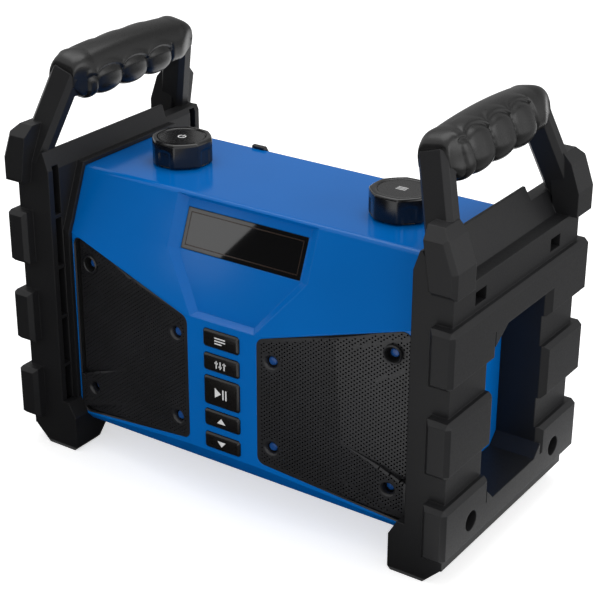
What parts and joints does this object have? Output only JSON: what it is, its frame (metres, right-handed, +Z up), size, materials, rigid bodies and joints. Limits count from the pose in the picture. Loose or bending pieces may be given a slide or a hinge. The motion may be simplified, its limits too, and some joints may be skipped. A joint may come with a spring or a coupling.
{
  "type": "jobsite radio",
  "caption": "Jobsite radio: glossy two-shell housing with two speakers and a display between two bumper end frames that carry rubber-gripped handles.",
  "frame": {"origin": "on the ground under the middle of the radio, the plane of the four feet being Z = 0", "axes": "+X along the length to the right end seen from the front, -Y towards the speakers and the display, +Z up"},
  "size_m": [0.34, 0.178, 0.282],
  "materials": {
    "housing_plastic": "moulded, glossy",
    "frame_plastic": "moulded, satin",
    "grip_rubber": "overmoulded, satin",
    "grille_plastic": "moulded, satin",
    "key_plastic": "moulded, satin",
    "display_acrylic": "polished",
    "display_glass": "polished",
    "knob_plastic": "moulded, glossy",
    "cap_plastic": "moulded, glossy",
    "bright_steel": "turned",
    "black_steel": "black oxide",
    "latch_plastic": "moulded, satin",
    "board_laminate": "solder mask",
    "basket_steel": "pressed, painted",
    "cone_paper": "pressed paper",
    "seal_rubber": "moulded",
    "battery_wrap": "shrink wrap",
    "socket_plastic": "moulded",
    "encoder_zinc": "die cast",
    "plunger_nylon": "moulded"
  },
  "bodies": {
    "case": {"front_shell": "housing_plastic", "rear_shell": "housing_plastic", "case_seal": "seal_rubber", "case_screws": "black_steel", "frame_bolts": "black_steel", "hinge_pins": "bright_steel", "display_window": "display_acrylic", "display_module": "display_glass", "button_board": "board_laminate", "main_board": "board_laminate", "battery_pack": "battery_wrap", "socket_panel": "socket_plastic", "left_end_frame": "frame_plastic", "right_end_frame": "frame_plastic", "left_handle_grip": "grip_rubber", "right_handle_grip": "grip_rubber", "left_grille": "grille_plastic", "right_grille": "grille_plastic", "left_speaker_basket": "basket_steel", "right_speaker_basket": "basket_steel", "left_speaker_cone": "cone_paper", "right_speaker_cone": "cone_paper", "left_encoder": "encoder_zinc", "right_encoder": "encoder_zinc"},
    "door": {"battery_door": "housing_plastic", "latch_pins": "bright_steel"},
    "left_catch": {"left_latch": "latch_plastic"},
    "right_catch": {"right_latch": "latch_plastic"},
    "mode_key": {"mode_button": "key_plastic"},
    "sound_key": {"sound_button": "key_plastic"},
    "play_key": {"play_button": "key_plastic"},
    "up_key": {"up_button": "key_plastic"},
    "down_key": {"down_button": "key_plastic"},
    "left_push": {"left_plunger": "plunger_nylon"},
    "left_dial": {"left_knob": "knob_plastic", "left_knob_cap": "cap_plastic", "left_encoder_shaft": "bright_steel"},
    "right_push": {"right_plunger": "plunger_nylon"},
    "right_dial": {"right_knob": "knob_plastic", "right_knob_cap": "cap_plastic", "right_encoder_shaft": "bright_steel"}
  },
  "joints": [
    {"name": "door_hinge", "type": "hinge", "parent": "case", "child": "door", "pos_m": [0, 0.06383, 0.16138], "axis": [-1, 0, 0], "range_deg": [0, 110]},
    {"name": "left_catch_hinge", "type": "hinge", "parent": "door", "child": "left_catch", "pos_m": [-0.057, 0.04753, 0.19097], "axis": [-1, 0, 0], "range_deg": [0, 50]},
    {"name": "right_catch_hinge", "type": "hinge", "parent": "door", "child": "right_catch", "pos_m": [0.057, 0.04753, 0.19097], "axis": [-1, 0, 0], "range_deg": [0, 50]},
    {"name": "mode_press", "type": "slide", "parent": "case", "child": "mode_key", "axis": [0, 1, 0], "range_m": [0, 0.001], "stiffness_N_per_m": 800, "springref_m": -0.0008},
    {"name": "sound_press", "type": "slide", "parent": "case", "child": "sound_key", "axis": [0, 1, 0], "range_m": [0, 0.001], "stiffness_N_per_m": 800, "springref_m": -0.0008},
    {"name": "play_press", "type": "slide", "parent": "case", "child": "play_key", "axis": [0, 1, 0], "range_m": [0, 0.001], "stiffness_N_per_m": 800, "springref_m": -0.0008},
    {"name": "up_press", "type": "slide", "parent": "case", "child": "up_key", "axis": [0, 1, 0], "range_m": [0, 0.001], "stiffness_N_per_m": 800, "springref_m": -0.0008},
    {"name": "down_press", "type": "slide", "parent": "case", "child": "down_key", "axis": [0, 1, 0], "range_m": [0, 0.001], "stiffness_N_per_m": 800, "springref_m": -0.0008},
    {"name": "left_push_slide", "type": "slide", "parent": "case", "child": "left_push", "axis": [0, 0, -1], "range_m": [0, 0.0006], "stiffness_N_per_m": 4000, "springref_m": -0.0006},
    {"name": "left_dial_turn", "type": "hinge", "parent": "left_push", "child": "left_dial", "pos_m": [-0.0851, -0.0058, 0.205], "axis": [0, 0, 1], "continuous": true},
    {"name": "right_push_slide", "type": "slide", "parent": "case", "child": "right_push", "axis": [0, 0, -1], "range_m": [0, 0.0006], "stiffness_N_per_m": 4000, "springref_m": -0.0006},
    {"name": "right_dial_turn", "type": "hinge", "parent": "right_push", "child": "right_dial", "pos_m": [0.0851, -0.0058, 0.205], "axis": [0, 0, 1], "continuous": true}
  ]
}
